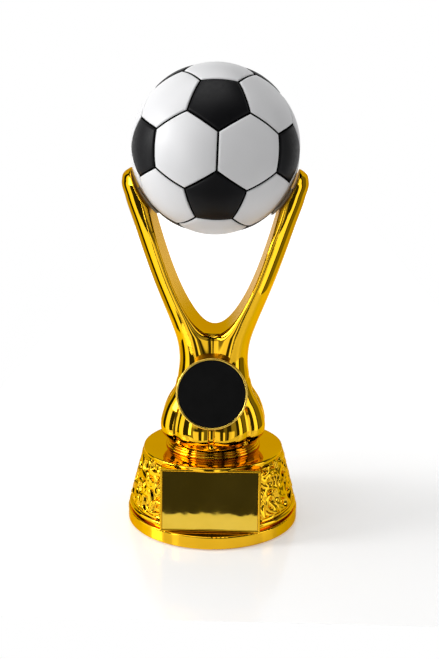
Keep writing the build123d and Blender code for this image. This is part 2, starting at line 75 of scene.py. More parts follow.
def add_camera():
    """A long lens a little above the trophy, looking down at it."""
    azimuth = math.radians(CAMERA_AZIMUTH)
    camera = bpy.data.objects.new("camera", bpy.data.cameras.new("camera"))
    camera.data.lens = FOCAL_LENGTH
    camera.data.sensor_width = SENSOR
    camera.data.clip_start = 0.01
    camera.data.clip_end = 20
    camera.location = (
        CAMERA_DISTANCE * math.sin(azimuth),
        -CAMERA_DISTANCE * math.cos(azimuth),
        CAMERA_HEIGHT,
    )
    heading = Matrix.Rotation(azimuth - math.radians(CAMERA_YAW), 4, "Z")
    tilt = Matrix.Rotation(math.radians(90 - CAMERA_PITCH), 4, "X")
    roll = Matrix.Rotation(math.radians(CAMERA_ROLL), 4, "Z")
    camera.rotation_euler = (heading @ tilt @ roll).to_euler()
    bpy.context.scene.collection.objects.link(camera)
    bpy.context.scene.camera = camera


add_camera()

# ---------------------------------------------------------------- node helpers


def new_material(name):
    """A material with only a Principled shader: (material, node tree, shader)."""
    material = bpy.data.materials.new(name)
    material.use_nodes = True
    tree = material.node_tree
    shader = tree.nodes["Principled BSDF"]
    return material, tree, shader


def noise(tree, scale, detail=2.0, roughness=0.5):
    """Noise over the object's own coordinates, with scale in features per metre."""
    where = tree.nodes.new("ShaderNodeTexCoord")
    texture = tree.nodes.new("ShaderNodeTexNoise")
    texture.inputs["Scale"].default_value = scale
    texture.inputs["Detail"].default_value = detail
    texture.inputs["Roughness"].default_value = roughness
    tree.links.new(where.outputs["Object"], texture.inputs["Vector"])
    return texture.outputs["Fac"]


def ramp(tree, factor, stops):
    """A colour ramp through (position, colour) stops."""
    node = tree.nodes.new("ShaderNodeValToRGB")
    elements = node.color_ramp.elements
    elements[0].position, elements[1].position = stops[0][0], stops[-1][0]
    elements[0].color, elements[1].color = stops[0][1], stops[-1][1]
    for position, colour in stops[1:-1]:
        elements.new(position).color = colour
    tree.links.new(factor, node.inputs["Fac"])
    return node.outputs["Color"]


def math_node(tree, operation, first, *others):
    """A Math node: the first operand is a socket, the others are sockets or plain numbers."""
    node = tree.nodes.new("ShaderNodeMath")
    node.operation = operation
    tree.links.new(first, node.inputs[0])
    for socket, value in zip(node.inputs[1:], others):
        if isinstance(value, (int, float)):
            socket.default_value = value
        else:
            tree.links.new(value, socket)
    return node.outputs[0]


MIX_COLOUR_A, MIX_COLOUR_B, MIX_COLOUR_RESULT = 6, 7, 2  # the Mix node's colour sockets


def mix_colours(tree, factor, first, second):
    """Mixes a linked colour with a fixed one."""
    node = tree.nodes.new("ShaderNodeMix")
    node.data_type = "RGBA"
    tree.links.new(factor, node.inputs["Factor"])
    tree.links.new(first, node.inputs[MIX_COLOUR_A])
    node.inputs[MIX_COLOUR_B].default_value = second
    return node.outputs[MIX_COLOUR_RESULT]


def grey(value):
    return (value, value, value, 1)


def bump(tree, shader, height, strength, distance):
    """Lets a height move the shader's normal; the distance is in metres."""
    node = tree.nodes.new("ShaderNodeBump")
    node.inputs["Strength"].default_value = strength
    node.inputs["Distance"].default_value = distance
    tree.links.new(height, node.inputs["Height"])
    tree.links.new(node.outputs["Normal"], shader.inputs["Normal"])


# ---------------------------------------------------------------- materials

# Each tint is a darker and a lighter colour
PLATING_TINT = ((0.78, 0.44, 0.016), (0.84, 0.48, 0.020))
# The bezel's tint is paler and bluer than the plating's: painted highlight, for the light that its
# rounded rim catches.
BEZEL_HIGHLIGHT_TINT = ((0.93, 0.62, 0.09), (0.97, 0.66, 0.12))
GRAZING_TINT = (0.82, 0.57, 0.05, 1)
VEIL_ROUGHNESS = 0.24  # of the lacquer where it is seen edge on
GRAIN_SCALE = 2200


def gold_plating(name="gold_plating", roughness=0.035, ripple=0.02, tint=PLATING_TINT):
    """Vacuum-metallised gold: a mirror with a faint moulding ripple and cloudy lacquer."""
    material, tree, shader = new_material(name)
    shader.inputs["Metallic"].default_value = 1.0
    colour = ramp(tree, noise(tree, 60), [(0.3, (*tint[0], 1)), (0.7, (*tint[1], 1))])
    tree.links.new(colour, shader.inputs["Base Color"])
    shader.inputs["Specular Tint"].default_value = GRAZING_TINT
    haze = ramp(tree, noise(tree, 180, 3), [(0.35, grey(roughness)), (0.8, grey(roughness * 1.8))])
    slope = tree.nodes.new("ShaderNodeLayerWeight")
    veil = ramp(tree, slope.outputs["Facing"], [(0.76, grey(0)), (0.90, grey(VEIL_ROUGHNESS))])
    tree.links.new(math_node(tree, "MAXIMUM", haze, veil), shader.inputs["Roughness"])
    bump(tree, shader, noise(tree, 140, 1), ripple, 0.0004)
    return material


def plate_gold():
    """Polished anodised plate: paler than the plating and slightly wavy."""
    material, tree, shader = new_material("plate_gold")
    shader.inputs["Metallic"].default_value = 1.0
    tint = ramp(tree, noise(tree, 90, 3), [(0.3, (0.92, 0.61, 0.06, 1)), (0.7, (0.97, 0.66, 0.08, 1))])
    tree.links.new(tint, shader.inputs["Base Color"])
    haze = ramp(tree, noise(tree, 120, 3), [(0.4, grey(0.04)), (0.75, grey(0.09))])
    tree.links.new(haze, shader.inputs["Roughness"])
    bump(tree, shader, noise(tree, 110, 2), 0.12, 0.0006)
    return material


def ball_panel(name, dark, light, roughness, gloss):
    """Satin coated panel with a fine leather-like grain; gloss is its specular level."""
    material, tree, shader = new_material(name)
    tint = ramp(tree, noise(tree, 45, 2), [(0.3, dark), (0.7, light)])
    tree.links.new(tint, shader.inputs["Base Color"])
    sheen = ramp(tree, noise(tree, 900, 2), [(0.3, grey(roughness)), (0.7, grey(roughness + 0.12))])
    tree.links.new(sheen, shader.inputs["Roughness"])
    where = tree.nodes.new("ShaderNodeTexCoord")
    grain = tree.nodes.new("ShaderNodeTexVoronoi")
    grain.inputs["Scale"].default_value = GRAIN_SCALE
    tree.links.new(where.outputs["Object"], grain.inputs["Vector"])
    bump(tree, shader, grain.outputs["Distance"], 0.12, 0.0001)
    shader.inputs["Specular IOR Level"].default_value = gloss
    return material


def plain(name, dark, light, roughness, metallic=0.0, grain=400, gloss=0.5):
    """A mottled finish for small and hidden parts."""
    material, tree, shader = new_material(name)
    shader.inputs["Metallic"].default_value = metallic
    shader.inputs["Specular IOR Level"].default_value = gloss
    tint = ramp(tree, noise(tree, grain / 4, 3), [(0.3, dark), (0.7, light)])
    tree.links.new(tint, shader.inputs["Base Color"])
    sheen = ramp(tree, noise(tree, grain, 3), [(0.3, grey(roughness)), (0.7, grey(roughness + 0.15))])
    tree.links.new(sheen, shader.inputs["Roughness"])
    bump(tree, shader, noise(tree, grain * 3, 3), 0.15, 0.0001)
    return material


FINISHES = {
    "gold_plating": gold_plating(),
    "relief_gold": gold_plating("relief_gold", 0.05, 0.03),
    "plate_gold": plate_gold(),
    "insert_black": plain("insert_black", grey(0.003), grey(0.006), 0.5, gloss=0.08),
    "ball_white": ball_panel("ball_white", (0.78, 0.78, 0.79, 1), (0.84, 0.84, 0.85, 1), 0.32, 0.4),
    "ball_black": ball_panel(
        "ball_black", (0.002, 0.002, 0.003, 1), (0.005, 0.005, 0.006, 1), 0.36, 0.16
    ),
    "ball_core": plain("ball_core", grey(0.001), grey(0.003), 0.8, gloss=0.05),
    "adhesive": plain("adhesive", (0.50, 0.47, 0.38, 1), (0.62, 0.60, 0.50, 1), 0.35),
    "zinc_steel": plain("zinc_steel", (0.50, 0.50, 0.49, 1), (0.62, 0.62, 0.60, 1), 0.25, 1.0),
    "ballast_iron": plain("ballast_iron", (0.07, 0.065, 0.06, 1), (0.13, 0.12, 0.11, 1), 0.6, 1.0),
    "cover_plastic": plain("cover_plastic", grey(0.010), grey(0.02), 0.5),
    "felt": plain("felt", (0.006, 0.007, 0.006, 1), (0.02, 0.022, 0.02, 1), 0.9, 0.0, 1500),
}


def finish_cad_nodes():
    """Gives each CAD node the procedural finish of its record slot."""
    for entry in frame["record"]["subparts"]:
        node = nodes[entry["node"]]
        for material_slot in node.material_slots:
            material_slot.material = FINISHES[entry["material_slot"]]


finish_cad_nodes()

# ---------------------------------------------------------------- mesh helpers

SHARP_ANGLE = 40.0  # edges that turn more than this stay crisp, degrees
LEAST_LENGTH = 1e-9  # keeps a division by a length safe


def face_outwards(mesh):
    """Turns all faces of a closed mesh outwards."""
    shape = bmesh.new()
    shape.from_mesh(mesh)
    bmesh.ops.recalc_face_normals(shape, faces=shape.faces)
    shape.to_mesh(mesh)
    shape.free()


def add_piece(name, slot, points, faces, replaced, normals=None, finish=None):
    """A smooth mesh piece from millimetre points, which stands for the replaced CAD nodes.

    Without normals of its own, its faces are turned outwards and its sharp edges are kept.
    """
    mesh = bpy.data.meshes.new(name)
    mesh.from_pydata([tuple(p) for p in np.asarray(points) * MM], [], [tuple(f) for f in faces])
    mesh.validate()
    if normals is None:
        face_outwards(mesh)
        mesh.shade_smooth()
        mesh.set_sharp_from_angle(angle=math.radians(SHARP_ANGLE))
    else:
        mesh.shade_smooth()
        mesh.normals_split_custom_set_from_vertices([tuple(n) for n in normals])
    mesh.materials.append(finish or FINISHES[slot])
    piece = bpy.data.objects.new(name, mesh)
    bpy.context.scene.collection.objects.link(piece)
    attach(piece, "root")
    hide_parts(*replaced)


def smooth_step(low, high, x):
    """Rises smoothly from 0 at low to 1 at high."""
    t = np.clip((x - low) / (high - low), 0, 1)
    return t * t * (3 - 2 * t)


def smooth_max(a, b, reach):
    """The larger of two fields, with a rounding of about reach where they meet."""
    h = np.clip(1 - np.abs(a - b) / reach, 0, 1)
    return np.maximum(a, b) + h * h * reach / 4


def smooth_min(a, b, reach):
    return -smooth_max(-a, -b, reach)


def curve_through(knots, values, at):
    """Smooth cubic interpolation through the values."""
    knots, values = np.asarray(knots, float), np.asarray(values, float)
    slopes = np.gradient(values, knots)
    k = np.clip(np.searchsorted(knots, at) - 1, 0, len(knots) - 2)
    width = knots[k + 1] - knots[k]
    t = np.clip((at - knots[k]) / width, 0, 1)
    near = (1 + 2 * t) * (1 - t) ** 2 * values[k] + t * (1 - t) ** 2 * width * slopes[k]
    far = t * t * (3 - 2 * t) * values[k + 1] + t * t * (t - 1) * width * slopes[k + 1]
    return near + far


def grid_faces(rows, columns, closed=False):
    """Quads of a grid of points numbered row by row; closed joins the last column to the first."""
    across = np.arange(columns if closed else columns - 1)
    r, c = np.meshgrid(np.arange(rows - 1), across, indexing="ij")
    d = (c + 1) % columns
    this_row, next_row = r * columns, (r + 1) * columns
    quads = np.stack([this_row + c, this_row + d, next_row + d, next_row + c], -1)
    return [tuple(quad) for quad in quads.reshape(-1, 4)]


def tube_faces(rows, columns):
    """Quads of a closed grid whose last row also joins its first."""
    faces = grid_faces(rows, columns, closed=True)
    last = (rows - 1) * columns
    for k in range(columns):
        after = (k + 1) % columns
        faces.append((last + k, last + after, after, k))
    return faces


# ---------------------------------------------------------------- implicit surfaces

NET_SETTLES = 3  # times that a net's points are moved onto the surface
LEAST_SLOPE = 0.2  # a flatter field moves them no further

def field_normals(field, points, step=0.02):
    """Unit gradients of the field, and the gradients' lengths."""
    gradient = np.empty_like(points)
    for axis in range(3):
        shift = np.zeros(3)
        shift[axis] = step
        gradient[:, axis] = (field(*(points + shift).T) - field(*(points - shift).T)) / (2 * step)
    length = np.linalg.norm(gradient, axis=1, keepdims=True)
    return gradient / np.maximum(length, LEAST_LENGTH), length[:, 0]


def surface_net(field, low, high, step):
    """Quads on the zero surface of field(x, y, z), whose inside is negative."""
    axes = [np.arange(a, b + step, step) for a, b in zip(low, high)]
    values = field(*np.meshgrid(*axes, indexing="ij"))
    inside = values < 0
    shape = [len(a) - 1 for a in axes]
    total, count = np.zeros(shape + [3]), np.zeros(shape)
    corners = [(i, j, k) for i in (0, 1) for j in (0, 1) for k in (0, 1)]

    def corner(array, offset):
        return array[tuple(slice(o, o + n) for o, n in zip(offset, shape))]

    for a in corners:
        for axis in range(3):
            if a[axis]:
                continue
            b = tuple(v + (i == axis) for i, v in enumerate(a))
            va, vb = corner(values, a), corner(values, b)
            crossing = corner(inside, a) != corner(inside, b)
            part = np.where(crossing, va / np.where(crossing, va - vb, 1), 0)
            for i in range(3):
                total[..., i] += np.where(crossing, a[i] + (part if i == axis else 0), 0)
            count += crossing
    cells = np.argwhere(count > 0)
    numbers = -np.ones(shape, int)
    numbers[tuple(cells.T)] = np.arange(len(cells))
    within = total[tuple(cells.T)] / count[tuple(cells.T)][:, None]
    points = np.array([a[0] for a in axes]) + (cells + within) * step
    quads = []
    for axis in range(3):
        u, v = (axis + 1) % 3, (axis + 2) % 3
        first = [slice(1, -1)] * 3
        first[axis] = slice(0, -1)
        second = list(first)
        second[axis] = slice(1, None)
        a, b = inside[tuple(first)], inside[tuple(second)]
        for crossing, flip in ((a & ~b, False), (~a & b, True)):
            at = np.argwhere(crossing)
            at[:, u] += 1
            at[:, v] += 1
            ring = []
            for du, dv in ((0, 0), (-1, 0), (-1, -1), (0, -1)):
                cell = at.copy()
                cell[:, u] += du
                cell[:, v] += dv
                ring.append(numbers[tuple(cell.T)])
            quad = np.stack(ring, -1)
            quads.append(quad[:, ::-1] if flip else quad)
    quads = np.concatenate(quads)
    for _ in range(NET_SETTLES):
        normal, length = field_normals(field, points)
        distance = field(*points.T) / np.maximum(length, LEAST_SLOPE)
        points -= normal * np.clip(distance, -step / 2, step / 2)[:, None]
    return points, quads


# ---------------------------------------------------------------- turned pieces


def turned_points(profile, segments, frame_of=None):
    """Points of a (radius, height) profile turned about Z, or about another placed axis."""
    profile = np.asarray(profile, float)
    angles = np.arange(segments) / segments * 2 * math.pi
    x = profile[:, :1] * np.sin(angles)
    y = -profile[:, :1] * np.cos(angles)
    z = np.repeat(profile[:, 1:], segments, axis=1)
    points = np.stack([x, y, z], -1).reshape(-1, 3)
    if frame_of is not None:
        origin, tilt = frame_of
        points = points @ np.array(Matrix.Rotation(tilt, 3, "X")).T + origin
    return points


def arc(centre, radius, start, end, steps=8):
    """Points of a circular arc in a profile, angles in degrees from the radius axis."""
    turn = np.radians(np.linspace(start, end, steps))
    return [(centre[0] + radius * math.cos(a), centre[1] + radius * math.sin(a)) for a in turn]


def add_turned(name, slot, profile, replaced, segments=256, frame_of=None, finish=None):
    """A turned piece from a profile that runs anticlockwise from its inside; it is closed."""
    points = turned_points(profile, segments, frame_of)
    faces = tube_faces(len(profile), segments)
    add_piece(name, slot, points, faces, replaced, finish=finish)


# ---------------------------------------------------------------- ball

ball_low, ball_high = box_mm("ball_hexagon_panels")
BALL_RADIUS = (ball_high[0] - ball_low[0]) / 2
BALL_CENTRE = (ball_low + ball_high) / 2
BALL_PITCH, BALL_ROLL, BALL_YAW = -2.7, 1.8, 3.2  # as in the CAD, degrees
CORE_DEPTH = 0.75  # of the core's surface under the panels' top
CORE_WALL = 2.0
CORE_ROWS = 60
CORE_TOP_ANGLE = 89.9  # degrees; the shells are open by a pinhole at the poles
PANEL_DEPTH = CORE_DEPTH + 0.02  # a panel's walls end just inside the core
GOLDEN = (1 + math.sqrt(5)) / 2
ICOSAHEDRON_CORNERS = 12
ICOSAHEDRON_EDGE = 2
LENGTH_TOLERANCE = 0.01
SEAM_HALF = 0.43  # half width of the groove between two panels
PANEL_ROUND = 0.85  # width of a panel's rolled edge
PANEL_ROLL = 0.42  # how far that edge drops
PANEL_ROLL_POWER = 2.2  # over 2: the roll is steeper at the seam than a circle's
PANEL_CROWDING = 0.9  # power that sets how the points crowd towards a panel's edge
FRONT_SPREAD = 1.083  # the panels that face the camera are cut this much larger
PANEL_PUFF = 0.16  # the middle of a panel over its edge
PANEL_STEPS = 22  # subdivisions of a sixth or fifth of a panel


def ball_rotation():
    """How the ball sits in the fork, as a matrix."""
    turn = Matrix.Rotation(math.radians(BALL_PITCH), 3, "X")
    turn = turn @ Matrix.Rotation(math.radians(BALL_ROLL), 3, "Y")
    return np.array(turn @ Matrix.Rotation(math.radians(BALL_YAW), 3, "Z"))


def panel_outlines():
    """The corner directions of the 12 pentagons and of the 20 hexagons of a football."""
    signs = (-1, 1)
    points = [(0, y * GOLDEN, z) for y in signs for z in signs]
    points += [(x * GOLDEN, y, 0) for x in signs for y in signs]
    points += [(x, 0, z * GOLDEN) for x in signs for z in signs]
    points = np.array(points, float)
    every = range(ICOSAHEDRON_CORNERS)
    gaps = np.linalg.norm(points[:, None] - points[None], axis=2)
    near = np.abs(gaps - ICOSAHEDRON_EDGE) < LENGTH_TOLERANCE
    owners = [(i, j) for i in every for j in every if near[i, j]]
    corners = [(points[i] * 2 + points[j]) / 3 for i, j in owners]

    def ordered(members, middle):
        """The corners in their order round the middle."""
        axis = middle / np.linalg.norm(middle)
        side = np.cross(axis, members[0])
        ahead = np.cross(side, axis)
        side_length, ahead_length = np.linalg.norm(side), np.linalg.norm(ahead)
        angles = [math.atan2(m @ side / side_length, m @ ahead / ahead_length) for m in members]
        return np.array([members[i] for i in np.argsort(angles)])

    pentagons = []
    for i in every:
        pentagons.append(ordered([c for c, (a, _) in zip(corners, owners) if a == i], points[i]))
    hexagons = []
    for i in every:
        for j in every[i + 1 :]:
            for k in every[j + 1 :]:
                if near[i, j] and near[j, k] and near[i, k]:
                    trio = (i, j, k)
                    members = [c for c, (a, b) in zip(corners, owners) if a in trio and b in trio]
                    hexagons.append(ordered(members, points[i] + points[j] + points[k]))
    return pentagons, hexagons


def panel_mesh(outline):
    """The outer skin of one puffed panel with rolled edges: points, faces, point numbers."""
    sides = len(outline)
    middle = outline.mean(axis=0)
    numbers, directions, faces = {}, [], []

    def number(sector, i, j):
        """Point i, j of a sector's triangle; sectors share the points on their borders."""
        if i == 0:
            key = (0, 0, 0)
        elif j == i:
            key = ((sector + 1) % sides, i, 0)
        else:
            key = (sector, i, j)
        if key not in numbers:
            numbers[key] = len(directions)
            a, b = outline[sector], outline[(sector + 1) % sides]
            reach = math.sin(i / PANEL_STEPS * math.pi / 2) ** PANEL_CROWDING
            share = j / i if i else 0
            directions.append(middle + (a * (1 - share) + b * share - middle) * reach)
        return numbers[key]

    for sector in range(sides):
        for i in range(PANEL_STEPS):
            for j in range(i + 1):
                here, below = number(sector, i, j), number(sector, i + 1, j)
                beyond = number(sector, i + 1, j + 1)
                faces.append((here, below, beyond))
                if j < i:
                    faces.append((here, beyond, number(sector, i, j + 1)))
    directions = np.array(directions)
    directions /= np.linalg.norm(directions, axis=1, keepdims=True)
    planes = np.cross(outline, np.roll(outline, -1, axis=0))
    planes /= np.linalg.norm(planes, axis=1, keepdims=True)
    edge = np.min(directions @ planes.T, axis=1) * BALL_RADIUS
    inner = edge.max()
    across = np.clip(edge / PANEL_ROUND, 0, 1)
    drop = PANEL_ROLL * (1 - np.sqrt(np.clip(1 - (1 - across) ** PANEL_ROLL_POWER, 0, 1)))
    drop += PANEL_PUFF * (1 - np.clip(edge / inner, 0, 1)) ** 2
    points = directions * (BALL_RADIUS - drop)[:, None]
    return points, faces, numbers


def close_panel(points, faces, numbers, outline):
    """Draws the panel in by half a seam and adds its side walls and its flat-fan back."""
    sides = len(outline)
    border = []
    for sector in range(sides):
        for j in range(PANEL_STEPS):
            border.append(numbers[(sector, PANEL_STEPS, j)])
    middle = outline.mean(axis=0)
    middle = middle / np.linalg.norm(middle)
    across = points - np.outer(points @ middle, middle)
    reach = np.linalg.norm(across[border], axis=1).mean()
    points = points - across * (SEAM_HALF / reach)
    start = len(points)
    wall = points[border]
    wall = wall / np.linalg.norm(wall, axis=1, keepdims=True) * (BALL_RADIUS - PANEL_DEPTH)
    back = middle * (BALL_RADIUS - PANEL_DEPTH)
    points = np.concatenate([points, wall, back[None]])
    count = len(border)
    for k in range(count):
        after = (k + 1) % count
        faces.append((border[k], border[after], start + after, start + k)[::-1])
        faces.append((start + k, start + after, start + count)[::-1])
    return points, faces


def spread_outlines(outlines):
    """Turns the panels' corners with the ball and spreads them about the front."""
    turn = ball_rotation()
    azimuth = math.radians(CAMERA_AZIMUTH)
    front_x, front_y = CAMERA_DISTANCE * math.sin(azimuth), -CAMERA_DISTANCE * math.cos(azimuth)
    front = np.array((front_x, front_y, CAMERA_HEIGHT)) / MM - BALL_CENTRE
    front /= np.linalg.norm(front)
    spread = []
    for outline in outlines:
        corners = outline @ turn.T
        corners /= np.linalg.norm(corners, axis=1, keepdims=True)
        ahead = corners @ front
        across = corners - np.outer(ahead, front)
        reach = np.linalg.norm(across, axis=1)
        angle = 2 * np.arctan(FRONT_SPREAD * np.tan(np.arctan2(reach, ahead) / 2))
        spread.append(np.outer(np.cos(angle), front) + across * (np.sin(angle) / reach)[:, None])
    return spread


def add_panels(name, slot, outlines, node):
    """All panels of one colour as one piece."""
    all_points, all_faces, start = [], [], 0
    for outline in spread_outlines(outlines):
        points, faces, numbers = panel_mesh(outline)
        points, faces = close_panel(points, faces, numbers, outline)
        all_points.append(points + BALL_CENTRE)
        all_faces += [tuple(n + start for n in face) for face in faces]
        start += len(points)
    add_piece(name, slot, np.concatenate(all_points), all_faces, [node])


def add_core():
    """The black shells under the panels; they show at the bottom of the seams."""
    outer, inner = BALL_RADIUS - CORE_DEPTH, BALL_RADIUS - CORE_DEPTH - CORE_WALL
    angles = np.radians(np.linspace(0, CORE_TOP_ANGLE, CORE_ROWS))
    for name, node, side in (
        ("core_upper", "ball_upper_shell", 1),
        ("core_lower", "ball_lower_shell", -1),
    ):
        profile = [(outer * math.cos(a), side * outer * math.sin(a)) for a in angles]
        profile += [(inner * math.cos(a), side * inner * math.sin(a)) for a in angles[::-3]]
        add_turned(name, "ball_core", profile, [node], frame_of=(BALL_CENTRE, 0))


pentagons, hexagons = panel_outlines()
add_panels("black_panels", "ball_black", pentagons, "ball_pentagon_panels")
add_panels("white_panels", "ball_white", hexagons, "ball_hexagon_panels")
add_core()

# ---------------------------------------------------------------- fork

# Each arm station: height, centre from the rod axis, half width, half depth; as in the CAD
ARM_STATIONS = np.array(
    [
        (57.5, 4.6, 9.3, 12.6),
        (64.5, 5.0, 8.2, 11.8),
        (72.0, 6.2, 7.8, 12.2),
        (79.0, 8.2, 8.1, 12.8),
        (87.0, 11.6, 7.9, 13.0),
        (96.0, 15.5, 7.5, 13.0),
        (106.0, 19.1, 7.4, 12.8),
        (117.0, 22.8, 7.3, 12.1),
        (127.0, 26.0, 7.4, 10.9),
        (133.0, 27.7, 6.9, 9.4),
        (136.0, 27.9, 5.6, 7.2),
        (137.9, 28.3, 2.4, 3.6),
    ]
)
NECK_BOTTOM = ARM_STATIONS[0, 0]
CROTCH_HEIGHT = 76.7
CROTCH_SPREAD = 12.2  # the opening is the parabola height = crotch + x * x / spread
SEAT_RADIUS = BALL_RADIUS + 0.45
BRIDGE_HALF_DEPTH = 10.9  # of the neck and the crotch on the middle line
ARM_BLEND = 1.1  # rounding between the two arms
BRIDGE_BLEND = 3.0
OPENING_ROUND = 1.3  # of the opening's edges
CROTCH_ROUND = 1.8  # more at the crotch, fading over the reach above and below it
CROTCH_REACH = 5.0
FACET_LOW, FACET_HIGH = 107, 121  # heights between which the front facet grows
FACET_GROWTH = 1.5
FACET_START = 0.6  # how far outside the arm it lies below that
FACET_SCALE = 0.72  # about 1 / sqrt(2), for a sum of two distances
FACET_ROUND = 1.3
SEAT_ROUND = 0.5
TIP_DROP, TIP_ROUND = 0.1, 0.6
ARM_MIDDLE = 0.05  # share of an arm's radius inside which the distance is not worked out
FORK_STEP = 0.32
FORK_MARGIN = 7.6  # of the net's box over the arms' centre lines
FORK_REACH = 13.6
CUT_TOLERANCE = 0.02
WELD_DISTANCE = 0.001


def fork_field(x, y, z):
    """Signed distance, roughly, to the fork: both arms, less the opening and the ball's seat."""
    height = ARM_STATIONS[:, 0]
    centre, half_width, half_depth = [
        curve_through(height, ARM_STATIONS[:, i], z) for i in (1, 2, 3)
    ]
    depth_part = y / half_depth

    def arm(side):
        """Distance to the ellipse of the arm on the +X or the -X side."""
        u = (side * x - centre) / half_width
        q = np.sqrt(u * u + depth_part * depth_part)
        slope = np.sqrt((u / half_width) ** 2 + (depth_part / half_depth) ** 2)
        return np.where(q > ARM_MIDDLE, (q - 1) * q / np.maximum(slope, LEAST_LENGTH), -half_width)

    arms = smooth_min(arm(1), arm(-1), ARM_BLEND)
    bridge = np.maximum(np.abs(y) - BRIDGE_HALF_DEPTH, np.abs(x) - centre)
    arms = smooth_min(arms, bridge, BRIDGE_BLEND)
    opening = z - CROTCH_HEIGHT - x * x / CROTCH_SPREAD
    opening = opening / np.sqrt(1 + (2 * x / CROTCH_SPREAD) ** 2)
    from_crotch = (z - CROTCH_HEIGHT) / CROTCH_REACH
    rounding = OPENING_ROUND + CROTCH_ROUND * np.exp(-(from_crotch**2))
    body = smooth_max(arms, opening, rounding)
    facet_depth = FACET_GROWTH * smooth_step(FACET_LOW, FACET_HIGH, z) - FACET_START
    front_facet = (arms + opening) * FACET_SCALE + facet_depth
    body = np.where(y < 0, smooth_max(body, front_facet, FACET_ROUND), body)
    seat = SEAT_RADIUS - np.sqrt(x * x + (z - BALL_CENTRE[2]) ** 2)
    body = smooth_max(body, seat, SEAT_ROUND)
    body = smooth_max(body, z - (ARM_STATIONS[-1, 0] - TIP_DROP), TIP_ROUND)
    return np.maximum(body, NECK_BOTTOM - z)


def fork_halves(points, quads):
    """Cuts the fork along its parting plane Y = 0 and closes both halves."""
    halves = []
    for side in (-1, 1):
        mesh = bmesh.new()
        vertices = [mesh.verts.new(p) for p in points]
        for quad in quads:
            mesh.faces.new([vertices[i] for i in quad])
        cut = bmesh.ops.bisect_plane(
            mesh,
            geom=list(mesh.verts) + list(mesh.edges) + list(mesh.faces),
            dist=CUT_TOLERANCE,
            plane_co=(0, 0, 0),
            plane_no=(0, side, 0),
            clear_inner=True,
        )
        rim = [e for e in cut["geom_cut"] if isinstance(e, bmesh.types.BMEdge)]
        bmesh.ops.holes_fill(mesh, edges=rim)
        halves.append(mesh)
    return halves


def add_fork():
    """The fork's two halves, shaded by the field's own normals."""
    half_span = ARM_STATIONS[:, 1].max() + FORK_MARGIN
    low = (-half_span, -FORK_REACH, NECK_BOTTOM - FORK_STEP * 1.5)
    high = (half_span, FORK_REACH, ARM_STATIONS[-1, 0] + FORK_STEP * 2.5)
    points, quads = surface_net(fork_field, low, high, FORK_STEP)
    front, rear = fork_halves(points, quads)
    for half, name, node in (
        (front, "fork_front", "fork_front_shell"),
        (rear, "fork_rear", "fork_rear_shell"),
    ):
        bmesh.ops.remove_doubles(half, verts=half.verts, dist=WELD_DISTANCE)
        bmesh.ops.recalc_face_normals(half, faces=half.faces)
        half.verts.index_update()
        shape = np.array([v.co for v in half.verts])
        faces = [[v.index for v in f.verts] for f in half.faces]
        normals, _ = field_normals(fork_field, shape)
        add_piece(name, "gold_plating", shape, faces, [node], normals)
        half.free()


add_fork()

# ---------------------------------------------------------------- bulb and collar

bulb_low, bulb_high = box_mm("fluted_bulb")
# The bulb's radius over a lobe's middle at each height
BULB_HEIGHTS = (32.5, 33.3, 34.2, 35.0, 35.9, 37.2, 39.0, 43.5, 48.0, 52.7, 57.5)
BULB_RADII = (17.5, 17.7, 18.3, 19.3, 20.1, 20.75, 21.0, 20.3, 18.6, 15.8, 13.9)
LOBES = 8
CREASE_HALF = 1.35  # half width of the flat-bottomed channel between two lobes
CREASE_EDGE = 0.5
CREASE_DEPTH = 0.75
CREASE_STARTS = (33.6, 35.6)  # heights between which the channels appear
CREASE_ENDS = (51, 56.5)  # and run out again
CREASE_TOP_WIDTH = 0.45  # share of the width that a channel keeps as the bulb narrows
LOBE_FALL = 1.2  # how far a lobe turns in towards its channel
LOBE_FALL_WIDTH = 3.6
TAB_REACH, TAB_HALF, TAB_HEIGHT, TAB_RISE = 0.7, 1.0, 34.4, 0.8  # at each channel's foot
BULB_ROWS, BULB_COLUMNS = 124, 768
BULB_CROWDING = 1.25  # power that crowds the rows towards the foot
ROD_HOLE = 3.3


def bulb_radius(angle, height):
    """The fluted bulb's radius: lobes with flat-bottomed channels between them."""
    radius = curve_through(BULB_HEIGHTS, BULB_RADII, height)
    sector = 2 * math.pi / LOBES
    offset = np.abs((angle + sector / 2) % sector - sector / 2) * radius
    present = smooth_step(*CREASE_STARTS, height) * (1 - smooth_step(*CREASE_ENDS, height))
    narrowing = CREASE_TOP_WIDTH + (1 - CREASE_TOP_WIDTH) * radius / max(BULB_RADII)
    fall = LOBE_FALL * np.exp(-((offset / (LOBE_FALL_WIDTH * narrowing)) ** 2))
    wall = smooth_step(CREASE_HALF - CREASE_EDGE, CREASE_HALF, offset / narrowing)
    channel = CREASE_DEPTH * (1 - wall)
    tab = TAB_REACH * np.exp(-((offset / TAB_HALF) ** 2) - ((height - TAB_HEIGHT) / TAB_RISE) ** 2)
    return radius - present * (fall + channel) + tab


def add_bulb():
    """The fluted bulb round the rod; its rows lie closer together at the foot."""
    angles = np.arange(BULB_COLUMNS) / BULB_COLUMNS * 2 * math.pi
    low, high = bulb_low[2], bulb_high[2]
    share = np.linspace(0, 1, BULB_ROWS)
    heights = low + (high - low) * share**BULB_CROWDING
    grid_angle, grid_height = np.meshgrid(angles, heights)
    radius = bulb_radius(grid_angle, grid_height)
    outer = np.stack([radius * np.sin(grid_angle), -radius * np.cos(grid_angle), grid_height], -1)
    ring = np.stack([ROD_HOLE * np.sin(angles), -ROD_HOLE * np.cos(angles)], -1)
    bottom = np.column_stack([ring, np.full(BULB_COLUMNS, low)])
    top = np.column_stack([ring, np.full(BULB_COLUMNS, high)])
    points = np.concatenate([bottom, outer.reshape(-1, 3), top])
    faces = tube_faces(BULB_ROWS + 2, BULB_COLUMNS)
    add_piece("fluted_bulb_form", "gold_plating", points, faces, ["fluted_bulb"])


COLLAR_BORE = 9.0
